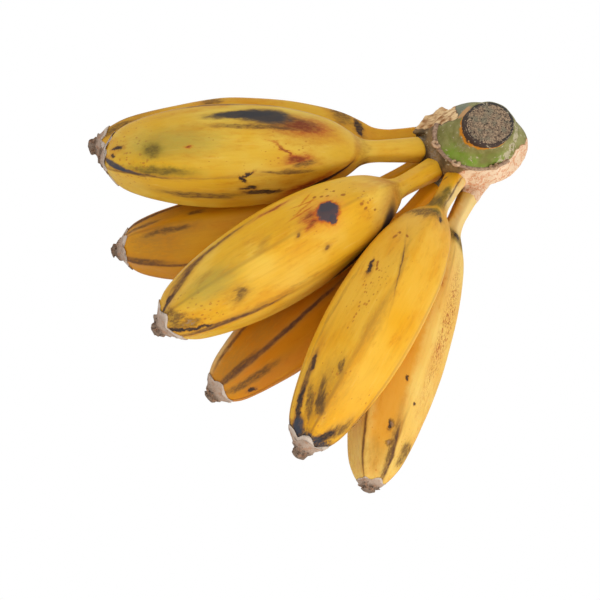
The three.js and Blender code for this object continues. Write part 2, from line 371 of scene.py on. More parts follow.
# Marks on the peel, as layers from the outside of a mark inwards: mostly what has happened to it, but
# the crease is partly painted shadow, deep is painted shade and pale is in places painted light.
# (colour, size as a share of the mark, softness of its edge, strength, how far it is broken up).
# Speckle is broken up into fine grit instead.
MARK_KINDS = {
    "bruise": [("#B98A2C", 1.35, 0.8, 0.6, 0.5), ("#5F4A32", 1.16, 0.6, 0.75, 0.3),
               ("#3A383A", 0.96, 0.5, 0.92, 0.0)],
    "burn": [("#E0902A", 1.9, 1.2, 0.5, 0.6), ("#B8480C", 1.22, 0.4, 0.85, 0.3),
             ("#464248", 1.0, 0.25, 0.95, 0.0)],
    "rust": [("#D08A28", 1.4, 1.2, 0.5, 0.4), ("#B0541A", 0.95, 0.9, 0.85, 0.4),
             ("#7A3418", 0.5, 0.9, 0.8, 0.3)],
    "scratch": [("#C4600E", 1.0, 1.2, 0.8, 0.4)],
    "stain": [("#AC7C2C", 1.0, 1.2, 0.5, 0.4)],
    "dark stain": [("#B07C2A", 1.4, 1.1, 0.5, 0.4), ("#5F4426", 0.95, 0.8, 0.8, 0.4)],
    "green": [("#A09446", 1.0, 1.4, 0.6, 0.1)],
    "olive": [("#8F7A24", 1.3, 1.1, 0.6, 0.2), ("#5E4C20", 0.85, 1.0, 0.75, 0.3)],
    "black": [("#A8661E", 1.5, 0.8, 0.6, 0.4), ("#2F2828", 1.0, 0.5, 0.95, 0.15)],
    "blue": [("#8A5628", 1.25, 0.6, 0.7, 0.3), ("#3A404C", 1.0, 0.5, 0.92, 0.1)],
    "tip": [("#7A4C24", 1.5, 0.7, 0.7, 0.6), ("#32363F", 1.0, 0.5, 0.92, 0.35)],
    "line": [("#B87A26", 2.0, 1.1, 0.45, 0.3), ("#573A2A", 1.0, 0.9, 0.8, 0.3)],
    "scab": [("#6B4A26", 1.3, 0.6, 0.75, 0.3), ("#A88C70", 0.7, 0.6, 0.6, 1.0)],
    # The crease is partly bruising and partly painted shadow: a dark line where fingers touch or lie
    # close.
    "crease": [("#B46A10", 1.8, 0.9, 0.6, 0.2), ("#2A1E1E", 1.0, 0.5, 0.97, 0.0)],
    "speckle": [("#C06C22", 1.1, 1.3, 0.8, 0.0), ("#9A4216", 0.8, 1.3, 0.75, 0.0)],
    "dot": [("#A05A1C", 1.3, 0.9, 0.85, 0.0)],
    # Deep is painted shade: a richer orange on a face that lies in shade.
    "deep": [("#DC9400", 1.0, 0.5, 0.65, 0.0)],
    # Pale lightens a strip of peel; on the last finger's pedicel it is painted light on the lit face.
    "pale": [("#EDD79A", 1.0, 1.0, 0.65, 0.0)],
}
# Marks that run out in long streaks, and thin ones that hardly wander; the others are compact.
STREAKY = ("bruise", "stain", "dark stain", "green", "rust")
STEADY = ("line", "scratch", "blue", "crease", "dot")
# How deep a mark reaches towards the centreline, as a share of the peel's distance from it.
MARK_DEPTH = 1.25


def peel_material(finger, marks, seed, tone):
    """Ripe banana peel: waxy, so it has a soft wide highlight, with fine fibres along its length.
    A mark is (kind, share of length, degrees from the top, length in mm, width in mm) and, if it
    doesn't run along the finger, the degrees it is tilted by."""
    material = new_material("ripe_peel_" + finger.name)
    tree = material.node_tree
    straight = attribute(tree, "straight").outputs["Vector"]
    ridge = attribute(tree, "ridge").outputs["Fac"]
    moved = node(tree, "ShaderNodeMapping", [
        ("Vector", straight), ("Location", (seed * 0.31, seed * 0.17, seed * 0.07))]).outputs[0]
    along = stretched(tree, moved, (0.06, 1, 1))
    ragged = stretched(tree, moved, (0.35, 1, 1))
    place = node(tree, "ShaderNodeSeparateXYZ", [("Vector", straight)]).outputs["X"]
    whole = finger.length * MM
    tip = ranged(tree, place, 0.72 * whole, 0.97 * whole)
    shoulder = ranged(tree, place, 0.34 * whole, 0.22 * whole)
    body = ranged(tree, place, 0.2 * whole, 0.3 * whole)
    ends = total(tree, tip, product(tree, shoulder, body))

    # Broad drift between a lemon and a deeper yellow, 30 mm across, and smaller warm clouds.
    drift = noise_of(tree, moved, 32)
    shade = mixed(tree, ranged(tree, drift, 0.35, 0.68), "#E8C454", "#E2AA1A")
    clouds = noise_of(tree, stretched(tree, moved, (0.4, 1, 1)), 110, 5, 0.6)
    shade = painted(tree, shade, "#D68E0A", ranged(tree, clouds, 0.46, 0.7, 0.65))
    tint, cover, depth = tone
    shade = painted(tree, shade, tint, cover)
    stem = ranged(tree, place, 0.26 * whole, 0.12 * whole, 0.45)
    shade = painted(tree, shade, "#E2A412", stem)

    # Fine orange mottling, 2 mm across and less, thickest in the warm clouds.
    mottle = ranged(tree, noise_of(tree, ragged, 520, 6, 0.7), 0.52, 0.66)
    mottle = product(tree, mottle, ranged(tree, clouds, 0.35, 0.65, 0.4))
    shade = painted(tree, shade, "#C27A12", mottle)

    # Fibres under the skin: streaks about 1.5 mm wide and 25 mm long.
    fibres = noise_of(tree, along, 700, 4)
    shade = painted(tree, shade, "#C48C18", ranged(tree, fibres, 0.45, 0.8, 0.25))
    shade = painted(tree, shade, "#EACB74", ranged(tree, fibres, 0.42, 0.2, 0.25))
    scuffs = noise_of(tree, along, 190, 5, 0.65)
    rubbed = total(tree, ranged(tree, drift, 0.45, 0.65, 0.5), product(tree, ends, 0.6))
    shade = painted(tree, shade, "#A8702A", product(tree, ranged(tree, scuffs, 0.56, 0.72, 0.5), rubbed))

    # Ridges are rubbed brown towards the ends and faintly in broken lengths between.
    worn = ranged(tree, noise_of(tree, along, 120), 0.42, 0.62, 0.3)
    worn_ridge = product(tree, ranged(tree, ridge, 0.86, 1.0), total(
        tree, product(tree, worn, body), product(tree, ends, 0.45)))
    shade = painted(tree, shade, "#8A5A26", worn_ridge)

    # The depth makes a finger a deeper orange throughout: riper peel, and on the lower fingers also
    # painted shade.
    shade = node(tree, "ShaderNodeMix", [(0, 1.0), (6, shade), (7, colour(depth))],
                 data_type="RGBA", blend_type="MULTIPLY").outputs[2]

    # Edges of marks wander, and run out in streaks along the fibres.

    def wandering(where, scale, reach):
        wander = node(tree, "ShaderNodeTexNoise", [
            ("Vector", where), ("Scale", scale), ("Detail", 6), ("Roughness", 0.62)])
        centred = node(tree, "ShaderNodeVectorMath", [
            (0, wander.outputs["Color"]), (1, (0.5, 0.5, 0.5))], operation="SUBTRACT")
        pushed = node(tree, "ShaderNodeVectorMath", [
            (0, centred.outputs[0]), (1, reach)], operation="MULTIPLY")
        return node(tree, "ShaderNodeVectorMath", [
            (0, straight), (1, pushed.outputs[0])], operation="ADD").outputs[0]

    streaky = wandering(ragged, 300, (0.012, 0.0045, 0.0045))
    compact = wandering(moved, 260, (0.0055, 0.0045, 0.0045))
    steady = wandering(moved, 110, (0.004, 0.0022, 0.0022))
    specks = ranged(tree, noise_of(tree, ragged, 900, 3, 0.7), 0.42, 0.6)
    grit = ranged(tree, noise_of(tree, ragged, 1500, 6, 0.85), 0.5, 0.6)

    def distance_to(kind, share, degrees, length, width, tilt=0):
        """0 at a mark's middle and 1 at its edge."""
        angle = math.radians(degrees)
        band = width > finger.girth
        out = 0 if band else finger.reach(share, angle)
        depth = width / 2 if band else MARK_DEPTH * out
        turn = Matrix.Rotation(angle, 3, "X") @ Matrix.Rotation(math.radians(tilt), 3, "Z")
        centre = (share * whole, -out * math.sin(angle) * MM, out * math.cos(angle) * MM)
        wander = streaky if kind in STREAKY else steady if kind in STEADY else compact
        local = node(tree, "ShaderNodeMapping", [
            ("Vector", wander), ("Location", centre), ("Rotation", tuple(turn.to_euler("XYZ"))),
            ("Scale", (length / 2 * MM, width / 2 * MM, depth * MM))], vector_type="TEXTURE")
        return node(tree, "ShaderNodeVectorMath", [
            (0, local.outputs[0])], operation="LENGTH").outputs["Value"]

    # Rust-coloured freckles up to 1 mm wide in loose drifts, thickest near the tip.
    crowding = total(tree, noise_of(tree, moved, 60, 2), product(tree, tip, 0.12))
    for mark in marks:
        if mark[0] == "freckles":
            crowding = total(tree, crowding, ranged(tree, distance_to(*mark), 1.5, 0.2, 0.35))
    cells = node(tree, "ShaderNodeTexVoronoi", [
        ("Vector", stretched(tree, moved, (0.7, 1, 1))), ("Scale", 880), ("Randomness", 1.0)])
    chance = node(tree, "ShaderNodeSeparateColor", [("Color", cells.outputs["Color"])]).outputs[0]
    size = product(tree, ranged(tree, crowding, 0.4, 0.95, 0.5), ranged(tree, chance, 0.45, 1.05))
    dots = maths(tree, "SUBTRACT", size, cells.outputs["Distance"])
    freckle = ranged(tree, dots, -0.1, 0.14, 0.65)
    shade = painted(tree, shade, "#B4661A", freckle)

    # The outer layers of all the marks lie under the cores of any.
    aways = [(mark[0], distance_to(*mark)) for mark in marks if mark[0] != "freckles"]
    mark_cores = 0.0
    for layer in range(3):
        for kind, away in aways:
            if layer >= len(MARK_KINDS[kind]):
                continue
            tint, grown, soft, strength, broken = MARK_KINDS[kind][layer]
            cover = ranged(tree, away, grown * (1 + soft / 2), grown * (1 - soft / 2), strength)
            holes = grit if kind == "speckle" else maths(tree, "MULTIPLY_ADD", specks, -broken, 1.0)
            cover = product(tree, cover, holes)
            shade = painted(tree, shade, tint, cover)
            if layer == len(MARK_KINDS[kind]) - 1:
                mark_cores = maths(tree, "MAXIMUM", mark_cores, cover)

    # Wax makes sound peel smoother than the cores of its marks, painted shade and light among them, and
    # light goes a little way into it.
    rough = node(tree, "ShaderNodeMapRange", [
        ("Value", mark_cores), ("To Min", 0.46), ("To Max", 0.7)]).outputs[0]
    surfaced(tree, shade, rough, maths(tree, "SUBTRACT", fibres, freckle), 0.2, 0.0003, [
        ("Specular IOR Level", 0.2), ("Subsurface Weight", 0.1),
        ("Subsurface Radius", (1.0, 0.45, 0.12)), ("Subsurface Scale", 0.002)])
    return material


fingers = [
    Finger("finger_lower_1", (-30.5, 19, 16), (-181.5, 15.2, 15.5), 7.4, 5, 43.4, 0.095,
           (-110, -38, 34, 106, 178), 6.5, -0.5, 0.1),
    Finger("finger_upper_1", (-30.2, 2.4, 31), (-175.3, -9.3, 41.6), 20.6, 14, 45.7, 0.161,
           (-118, -58, 45, 110, 175), 4.2, 0.04, 0.1),
    Finger("finger_lower_2", (-29.9, 2.3, 15), (-169.7, -41.5, 13), 5.4, 12.3, 38.4, 0.157,
           (-135, -64, 0, 62, 140), 5, 0.2, 0.15),
    Finger("finger_upper_2", (-23.7, -8.7, 31), (-146.3, -98.6, 42), 24.2, 11.3, 42.4, 0.157,
           (-132, -74, -13, 47, 130), 6, 0.1, 0.35),
    Finger("finger_lower_3", (-22.7, -9.4, 15), (-124.7, -117.4, 13), 6.5, 4.4, 40.2, 0.15,
           (-145, -78, -22, 36, 110), 4.3, 0.1, 0.12),
    Finger("finger_upper_3", (-13.5, -14.6, 31), (-84.4, -158.8, 42), 21, 4.2, 41, 0.149,
           (-145, -74, -12, 52, 130), 6, 0.15, 0.32),
    Finger("finger_lower_4", (-5.5, -12.1, 15), (-55.1, -163.5, 13), 5.2, -4.8, 38.3, 0.115,
           (-150, -87, -36, 26, 105), 3.6, -0.12, 0.12),
]
# Each finger has its own tone: a tint, how far it is laid over the yellow, and a depth that multiplies
# the colour.
# The deeper orange of the first three lower fingers, which lie under the upper ones, is partly riper peel
# and partly painted shade.
TONES = [("#C89018", 0.4, "#FFF6BC"), ("#B8982A", 0.2, "#FFFFF4"), ("#CC8A00", 0.6, "#FFF08A"),
         ("#E8B020", 0.2, "#FFFFFF"), ("#C67C00", 0.7, "#FFE880"), ("#E8A200", 0.5, "#FFFDE8"),
         ("#F2D48E", 0.3, "#FFFFFF")]

marks = {
    "finger_lower_1": [
        ("dark stain", 0.93, 16, 22, 4), ("line", 0.87, 58, 34, 2.2), ("stain", 0.9, 30, 30, 9),
        ("line", 0.7, 40, 50, 1.4), ("dark stain", 0.637, 30, 9, 4), ("dark stain", 0.506, 52, 12, 3),
        ("dark stain", 0.24, 34, 10, 12), ("black", 0.19, 6, 4, 9, 15), ("stain", 0.96, 50, 12, 8)],
    "finger_upper_1": [
        ("stain", 0.4, 4, 30, 15), ("rust", 0.4, 8, 26, 11), ("dark stain", 0.43, 12, 22, 8),
        ("bruise", 0.505, 20.5, 20, 8.6), ("bruise", 0.575, 21, 24, 4.6, 3),
        ("dark stain", 0.53, 3, 34, 2.4, -3), ("line", 0.519, 46, 30, 1.6),
        ("line", 0.656, 42, 24, 1.4), ("green", 0.765, -16, 36, 13), ("olive", 0.812, -26, 8, 6.5),
        ("olive", 0.79, -52, 24, 3.6), ("blue", 0.93, -49, 13, 2.6, -18),
        ("blue", 0.885, -56.5, 13, 1.5, -8), ("dark stain", 0.85, -59, 26, 1.4, -2),
        ("stain", 0.775, -60, 34, 1.2), ("stain", 0.68, -59, 34, 1), ("black", 0.929, -16, 5, 1.8),
        ("black", 0.94, -34, 2.2, 2), ("rust", 0.431, -42, 13, 5), ("rust", 0.46, -30, 15, 1.8, -38),
        ("dark stain", 0.411, -49, 9, 2.6, 5), ("dark stain", 0.45, -57, 20, 2, -4),
        ("black", 0.56, -57, 5.5, 1.2, 38), ("black", 0.571, -62, 4, 1.2, -60),
        ("dark stain", 0.69, -88, 32, 5), ("black", 0.556, -76, 6, 2.2),
        ("black", 0.515, -86, 15, 3, -8), ("rust", 0.39, -87, 24, 5, 23),
        # The crease along the lower side is partly reddish bruising and partly painted shadow where this
        # finger lies against the next one.
        ("crease", 0.35, -89, 32, 2.6, 23), ("rust", 0.7, -22, 2.2, 1.8),
        ("freckles", 0.9, -30, 40, 30), ("freckles", 0.44, -15, 30, 26), ("stain", 0.206, -22, 7, 60),
        ("dark stain", 0.215, -116, 9, 5)],
    "finger_lower_2": [
        ("line", 0.95, 52, 34, 2.6), ("line", 0.84, 51, 44, 1.8), ("stain", 0.838, -10, 32, 9),
        ("dark stain", 0.84, -8, 20, 3), ("dark stain", 0.75, 14, 8, 3), ("line", 0.95, -60, 30, 2.4),
        ("line", 0.84, -66, 44, 1.6), ("stain", 0.88, -35, 26, 12), ("stain", 0.8, 34, 30, 9),
        ("dark stain", 0.93, 20, 18, 4)],
    "finger_upper_2": [
        ("rust", 0.535, -1, 10, 6), ("burn", 0.49, -9, 9.5, 8, 30), ("burn", 0.482, -3, 6.5, 5.5),
        ("burn", 0.492, -21, 4.5, 3, 60), ("scratch", 0.53, 14, 13, 0.9, 20),
        ("scratch", 0.525, 20, 11, 0.8, -10), ("scratch", 0.55, 7, 13, 0.9, 6),
        ("scratch", 0.51, 26, 9, 0.8, 30), ("freckles", 0.44, 20, 26, 14),
        ("freckles", 0.52, 4, 26, 20), ("freckles", 0.37, -12, 14, 16), ("freckles", 0.9, -30, 30, 20),
        ("rust", 0.6, 36, 16, 2), ("green", 0.831, -14, 22, 12), ("stain", 0.838, 0, 8, 3.5, 20),
        ("stain", 0.781, -44, 12, 9), ("dark stain", 0.781, -44, 6, 4.5, 30),
        ("black", 0.968, -54, 9, 1.8, -16), ("black", 0.93, -62, 18, 1.5, -12),
        ("line", 0.87, -72, 30, 2.2), ("line", 0.79, -74, 34, 1.6), ("stain", 0.68, -69, 44, 1.6),
        ("scab", 0.925, -51, 7, 2.6, -10), ("black", 0.955, 10, 10, 2.6, 28),
        ("line", 0.91, 22, 18, 2.6, 22), ("line", 0.865, 33, 20, 2.2, 6), ("line", 0.79, 38, 34, 1.8),
        ("pale", 0.86, 60, 44, 7), ("dark stain", 0.955, -26, 8, 10), ("stain", 0.675, -6, 9, 4, 30),
        ("line", 0.588, -16, 2.5, 1.4, 40), ("line", 0.537, -48, 2.5, 1.4, 30),
        # The crease along the lower edge is painted shadow of the dark gap beside the next finger, with
        # some bruising.
        ("stain", 0.225, -21, 8, 60), ("crease", 0.4, -92, 44, 8, 22), ("rust", 0.548, -12, 6, 4),
        ("dot", 0.487, 22, 1.6, 1), ("dot", 0.469, 18, 1.3, 1), ("dot", 0.455, 14, 1.1, 0.8),
        ("dot", 0.419, 4, 1.6, 1.3), ("dot", 0.394, -22, 1.2, 1.2), ("dot", 0.388, -30, 1.5, 0.9),
        ("dot", 0.356, -40, 1.1, 0.8), ("dot", 0.43, 18, 0.9, 0.8), ("dot", 0.44, 27, 1.1, 0.9)],
    "finger_lower_3": [
        ("line", 0.93, -17, 26, 2.8), ("line", 0.8, -22, 60, 2.2), ("line", 0.66, -22, 40, 1.6),
        ("black", 0.919, -68, 3, 2.4), ("line", 0.875, 26, 26, 1.6), ("pale", 0.88, 44, 34, 8),
        ("stain", 0.93, 0, 16, 12), ("dark stain", 0.9, -50, 26, 4), ("stain", 0.8, 0, 40, 9)],
    "finger_upper_3": [
        ("black", 0.535, 28, 5.5, 2.2, 10), ("black", 0.515, 31, 4, 1.2, 14),
        ("dot", 0.51, 22, 1.7, 0.9, 20), ("dot", 0.52, 21, 1.7, 0.9, 20), ("dot", 0.532, 19, 1.2, 0.8),
        ("line", 0.505, -8, 22, 0.55, 16), ("stain", 0.49, -8, 26, 3, 13), ("stain", 0.67, -14, 30, 6),
        ("dot", 0.394, 22, 1.9, 1, 30), ("dot", 0.412, 24, 1.7, 1.1), ("dot", 0.404, 6, 2, 0.8, 40),
        ("freckles", 0.4, 16, 14, 12), ("freckles", 0.62, 10, 40, 10), ("olive", 0.168, 30, 13, 7),
        ("olive", 0.108, -12, 7, 5), ("olive", 0.16, -16, 14, 4.5), ("dark stain", 0.268, 10, 9, 16),
        # The crease along the left edge is painted shadow of the dark gap beside the finger to its left,
        # with some bruising.
        ("olive", 0.245, -14, 5, 6), ("crease", 0.41, 77, 50, 9), ("black", 0.269, -32, 4, 2.4),
        ("stain", 0.63, 43, 36, 1.2), ("stain", 0.745, 45, 34, 1.4), ("black", 0.812, 37, 6, 2.4, 10),
        ("line", 0.865, 38, 24, 2.2), ("black", 0.93, 34, 18, 2.2, 6), ("pale", 0.9, 64, 18, 4),
        ("dark stain", 0.794, -4, 5, 2.2, 30), ("stain", 0.856, -4, 24, 14),
        ("dark stain", 0.895, -4, 9, 5, 35), ("dark stain", 0.87, 4, 13, 4, 20),
        ("dark stain", 0.9, 18, 12, 3, 30), ("freckles", 0.87, 0, 30, 20),
        ("dark stain", 0.825, -92, 13, 3), ("black", 0.825, -94, 6, 1.6), ("black", 0.887, -80, 9, 1.5),
        ("dark stain", 0.94, -56, 16, 5, -20), ("black", 0.958, -46, 9, 2.6, -24),
        ("tip", 0.978, 0, 4.4, 60), ("blue", 0.962, 26, 6, 5), ("line", 0.044, 42, 3, 0.8, -30),
        # The pale strip on the pedicel's right face is partly its own paler peel and partly painted
        # light.
        ("line", 0.09, -42, 26, 0.9), ("pale", 0.085, -68, 32, 5)],
    "finger_lower_4": [
        ("olive", 0.19, -10, 7, 60), ("black", 0.185, -40, 3, 4), ("rust", 0.388, -24, 8, 4),
        ("speckle", 0.44, -62, 50, 9), ("speckle", 0.54, -58, 60, 7), ("freckles", 0.5, -60, 60, 12),
        # On the pedicel, pale is painted light on the lit face and deep is painted shade on the shaded
        # one.
        ("rust", 0.006, 0, 3, 9), ("pale", 0.09, -46, 32, 9), ("deep", 0.08, 62, 26, 8),
        # Deep paints shade along the face that lies in the shadow of the upper finger beside it.
        ("deep", 0.64, -6, 110, 13), ("black", 0.713, -20, 1.4, 1.4), ("black", 0.769, -44, 1.6, 1.6),
        ("black", 0.85, -15, 4, 1.6), ("scab", 0.844, -18, 3, 2.4), ("scab", 0.894, -24, 2.6, 1.8),
        ("dark stain", 0.92, -34, 28, 3, 8), ("line", 0.92, -37, 26, 1.4, 8),
        ("dark stain", 0.9, -72, 10, 6), ("line", 0.9, 26, 26, 1.2), ("stain", 0.931, 4, 14, 8)],
}

for seed, finger in enumerate(fingers):
    grow_finger(finger, peel_material(finger, marks[finger.name], seed + 1, TONES[seed]))

# ---- Blossom ends ----
# The flower's dried remains stay on every tip: a corky beige cap with a thick pale rim that fits
# the blunt end, and beyond it a crumbly brown knob.

CAP_THICKNESS = 0.3
RIM_THICKNESS = 0.45
# How deep the cap's back edge is tucked into the peel.
TUCK = 0.3
# How far each cap reaches back over its tip, in millimetres.
CAP_REACHES = [4.5, 5.5, 4, 5, 3.6, 4.4, 1.8]
# A cap that reaches this far or further has its whole thickness.
FULL_CAP = 4.5
# Half-width of the knob along its length, as a share of half the finger's girth.
KNOB_OUTLINE = [(0, 0.26), (0.15, 0.25), (0.35, 0.2), (0.55, 0.165), (0.8, 0.145), (0.93, 0.11),
                (1, 0.04)]
CAP_RINGS = 10
KNOB_RINGS = 22
END_STEPS = 60
# The knob points the way the finger runs at this share of its length.
NUB_AIM = 0.7
# The cap is this brown at its tip, and the knob darkens from there.
CAP_BROWN = 0.15

withered = new_material("withered_flower")
tree = withered.node_tree
place = node(tree, "ShaderNodeTexCoord").outputs["Object"]
knob = attribute(tree, "knob").outputs["Fac"]
crumbs = noise_of(tree, place, 900, 4, 0.65)
shade = total(tree, knob, ranged(tree, noise_of(tree, place, 300), 0.35, 0.7, 0.2))
shade = mixed(tree, shade, "#BBA28E", "#86705E")
shade = painted(tree, shade, "#A97A5A", ranged(tree, noise_of(tree, place, 420), 0.5, 0.66, 0.6))
shade = painted(tree, shade, "#D8CABB", ranged(tree, knob, 0.07, 0.02, 0.7))
dark = total(tree, product(tree, knob, 0.1), crumbs)
shade = painted(tree, shade, "#3A2F28", ranged(tree, dark, 0.62, 0.72, 0.85))
surfaced(tree, shade, 0.9, crumbs, 0.8, 0.0008)

for finger, cap_reach in zip(fingers, CAP_REACHES):
    cap_size = min(1, cap_reach / FULL_CAP)
    # Up to 1 a vertex is on the cap, from its back edge to the tip. Beyond 1 it is on the knob.
    rings = [(-0.01, 1)] + [(i / CAP_RINGS, 1) for i in range(CAP_RINGS + 1)]
    rings += [(1 + (i + 1) / KNOB_RINGS, 1) for i in range(KNOB_RINGS)] + [(2.02, 0)]
    bm = spun(rings, END_STEPS)
    knob_layer = bm.verts.layers.float.new("knob")
    up, side = finger.directions(1)[1:]
    lean = finger.directions(NUB_AIM)[0]
    for vert in bm.verts:
        where, radius, turn = on_spun(vert)
        angle = ridged_angle(finger, turn)
        spot = Vector((where * 4, math.cos(angle) * 2, math.sin(angle) * 2))
        rough = noise.noise(spot + finger.base)
        if where <= 1:
            point = 0.6 + 0.35 * finger.ridge_nearness(angle) + 0.6 * rough
            share = 1 - cap_reach / finger.length * point * (1 - max(where, 0))
            lift = -TUCK
            if where >= 0:
                spot = Vector((where * 2, math.cos(angle) * 5, math.sin(angle) * 5))
                rim = RIM_THICKNESS * math.exp(-((where - 0.2) / 0.2) ** 2)
                lift = CAP_THICKNESS + 0.3 * noise.noise(spot) + rim
            vert.co = finger.place(share, angle, finger.reach(share, angle) + lift * cap_size)
        else:
            past = where - 1
            end = finger.reach(1, angle) + CAP_THICKNESS * cap_size
            width = smooth_through(KNOB_OUTLINE, min(past, 1)) / KNOB_OUTLINE[0][1]
            flutes = 1 - 0.2 * (1 - finger.ridge_nearness(angle)) * min(4 * past, 1)
            out = end * width * flutes * (1 + 0.5 * rough * min(3 * past, 1)) * radius
            vert.co = finger.centre(1) + lean * past * finger.nub + (
                up * math.cos(angle) + side * math.sin(angle)) * out
        browning = CAP_BROWN * max(where, 0) if where < 1 else CAP_BROWN + 2.2 * (where - 1)
        vert[knob_layer] = min(browning, 1)
    label = finger.name.replace("finger", "blossom_end")
    finished(bm, label + "_husk", withered, label)

# ---- Crown ----
# The crown is the short length of stalk that holds the hand. It is green and waxy above the scar
# cord, dark and woody where the pedicels leave it, pale where a knife went down its side, and
# torn at the back, where the next hand broke away. The stalk grew in one piece with its roots.

STALK_TOP = 54
# The middle and half-widths of the cut end.
FACE_CENTRE = (1.7, 1.5)
FACE_HALF = (11.4, 12.1)
CROWN_RINGS = [
    # (height, middle x, middle y, half-width in x, half-width in y)
    (0, -4.5, 11.5, 12.8, 11.8), (1.5, -4.5, 11.4, 13.8, 12.8), (6, -4.5, 11, 15.2, 14.2),
    (13, -4.5, 9.8, 17.4, 15.9), (22, -3.8, 7, 21, 18.3), (27, -3.5, 5, 23.8, 20.5),
    (31, -3, 4, 25, 21.6), (36, -3, 3.6, 23.8, 20.6), (40, -2.6, 3.9, 21, 19.6),
    (41.5, -2.2, 4, 19.4, 18.2), (46, -0.6, 4, 16.4, 15.4), (50.5, 0.9, 2.9, 13.3, 13.3),
    (53, 1.5, 1.9, 12.2, 13), (STALK_TOP, *FACE_CENTRE, *FACE_HALF),
]
# Knife cuts: a point on each, the direction it faces in degrees and how far its top leans in.
KNIFE_CUTS = [((21.2, 1, 30), -12, 7), ((15.1, -7.6, 30), -36, 7), ((6, -12.8, 29), -66, 4),
              ((-5, -16.7, 26), -92, 5)]
# Corners of the lump that was left where the next hand broke away.
TORN_LUMP = [
    (-33, 11, 32), (-27.5, 18.8, 34.5), (-19, 22.7, 38), (-16.5, 22.5, 36), (-24, 8, 38.5),
    (-15, 13, 41), (-28, 12, 24), (-20, 22, 25), (-12, 23, 26), (-10, 8, 30),
]
TRUNK_STEP = 0.5
TRUNK_SIDES = 96
# Each pedicel's root reaches this far into the crown and flares by this much at its inner end. It
# clings a little way up the pedicel, and further on the last one.
ROOT_DEPTH = 17
ROOT_FLARE = 1.4
ROOT_RINGS = 20
ROOT_SIDES = 40
CLING = 0.4
LAST_CLING = 3.5
VOXEL = 0.55
SCAR_HEIGHT = 40.7

cuts = []
for point, facing, lean in KNIFE_CUTS:
    turn = Matrix.Rotation(math.radians(facing), 3, "Z")
    turn = turn @ Matrix.Rotation(math.radians(-lean), 3, "Y")
    cuts.append((Vector(point), turn @ Vector((1, 0, 0))))


def crown_ring(height):
    """The stalk's middle and half-widths at a height."""
    return [smooth_through([(row[0], row[column]) for row in CROWN_RINGS], height)
            for column in (1, 2, 3, 4)]


rings = [(i * TRUNK_STEP, 1) for i in range(int(STALK_TOP / TRUNK_STEP) + 1)]
trunk = spun([(0, 0)] + rings + [(STALK_TOP, 0.5), (STALK_TOP, 0)], TRUNK_SIDES)
for vert in trunk.verts:
    height, radius, turn = on_spun(vert)
    turn *= math.tau
    x, y, half_x, half_y = crown_ring(height)
    swell = 1 + 0.03 * noise.noise(Vector((math.cos(turn) * 2, math.sin(turn) * 2, height / 9)))
    centre = Vector((x, y, height))
    out = Vector((half_x * math.cos(turn), half_y * math.sin(turn), 0)) * radius * swell
    for point, facing in cuts:
        past = (centre + out - point).dot(facing)
        if past > 0:
            out *= 1 - past / out.dot(facing)
    vert.co = centre + out

lump = bmesh.new()
bmesh.ops.convex_hull(lump, input=[lump.verts.new(corner) for corner in TORN_LUMP])
bmesh.ops.subdivide_edges(lump, edges=lump.edges, cuts=6, use_grid_fill=True)
for vert in lump.verts:
    vert.co += 1.3 * noise.noise_vector(vert.co / 4)

parts = [trunk, lump]
for finger in fingers:
    along, up, side = finger.directions(0)
    cling = LAST_CLING if finger is fingers[-1] else CLING
    rings = [(i / ROOT_RINGS, 1) for i in range(ROOT_RINGS + 1)]
    root = spun([(0, 0)] + rings + [(1, 0)], ROOT_SIDES)
    for vert in root.verts:
        share, radius, turn = on_spun(vert)
        angle = ridged_angle(finger, turn)
        flare = 1 + (ROOT_FLARE - 1) * (1 - share) ** 1.5
        reach = finger.reach(0, angle) * radius * flare
        vert.co = finger.centre(0) - STALK + along * (cling - ROOT_DEPTH * (1 - share)) + (
            up * math.cos(angle) + side * math.sin(angle)) * reach
    parts.append(root)

# The stalk, the lump and the roots are fused into one skin.
rough_crown = bpy.data.meshes.new("crown_parts")
joined = bmesh.new()
for part in parts:
    part.to_mesh(rough_crown)
    part.free()
    joined.from_mesh(rough_crown)
bmesh.ops.recalc_face_normals(joined, faces=joined.faces)
joined.to_mesh(rough_crown)
joined.free()
fused = bpy.data.objects.new("crown_parts", rough_crown)
bpy.context.scene.collection.objects.link(fused)
remesh = fused.modifiers.new("fuse", "REMESH")
remesh.mode = "VOXEL"
remesh.voxel_size = VOXEL
soften = fused.modifiers.new("soften", "SMOOTH")
soften.factor = 0.5
soften.iterations = 3
melted = bpy.data.meshes.new_from_object(fused.evaluated_get(bpy.context.evaluated_depsgraph_get()))
bpy.data.objects.remove(fused)
crown = bmesh.new()
crown.from_mesh(melted)

# Dried flakes lift beside this crack, which runs down the collar to the cord.
FLAKY_CRACK = [Vector((14.5, 4, 50)), Vector((14, 0, 46)), Vector((11.5, -5, 44)),
               Vector((9, -9, 41.5))]
layers = {name: crown.verts.layers.float.new(name)
          for name in ("collar", "rim", "rim_side", "ledge", "flesh", "torn", "flake", "front", "back")}
last_root = fingers[-1].base - STALK
last_aim = fingers[-1].directions(0)[0]


def between(value, low, high):
    """0 at or below low, 1 at or above high, and even between them."""
    return min(max((value - low) / (high - low), 0), 1)


def towards(turn, degrees, low, high, wobble=0.0):
    """1 on the side of the stalk that lies at that many degrees, fading to 0 away from it."""
    return between(math.cos(math.radians(turn - degrees)) + wobble, low, high)


def to_segment(spot, start, end):
    """Distance from a spot to the straight line between two points."""
    line = end - start
    share = between((spot - start).dot(line), 0, line.length_squared)
    return (spot - (start + line * share)).length


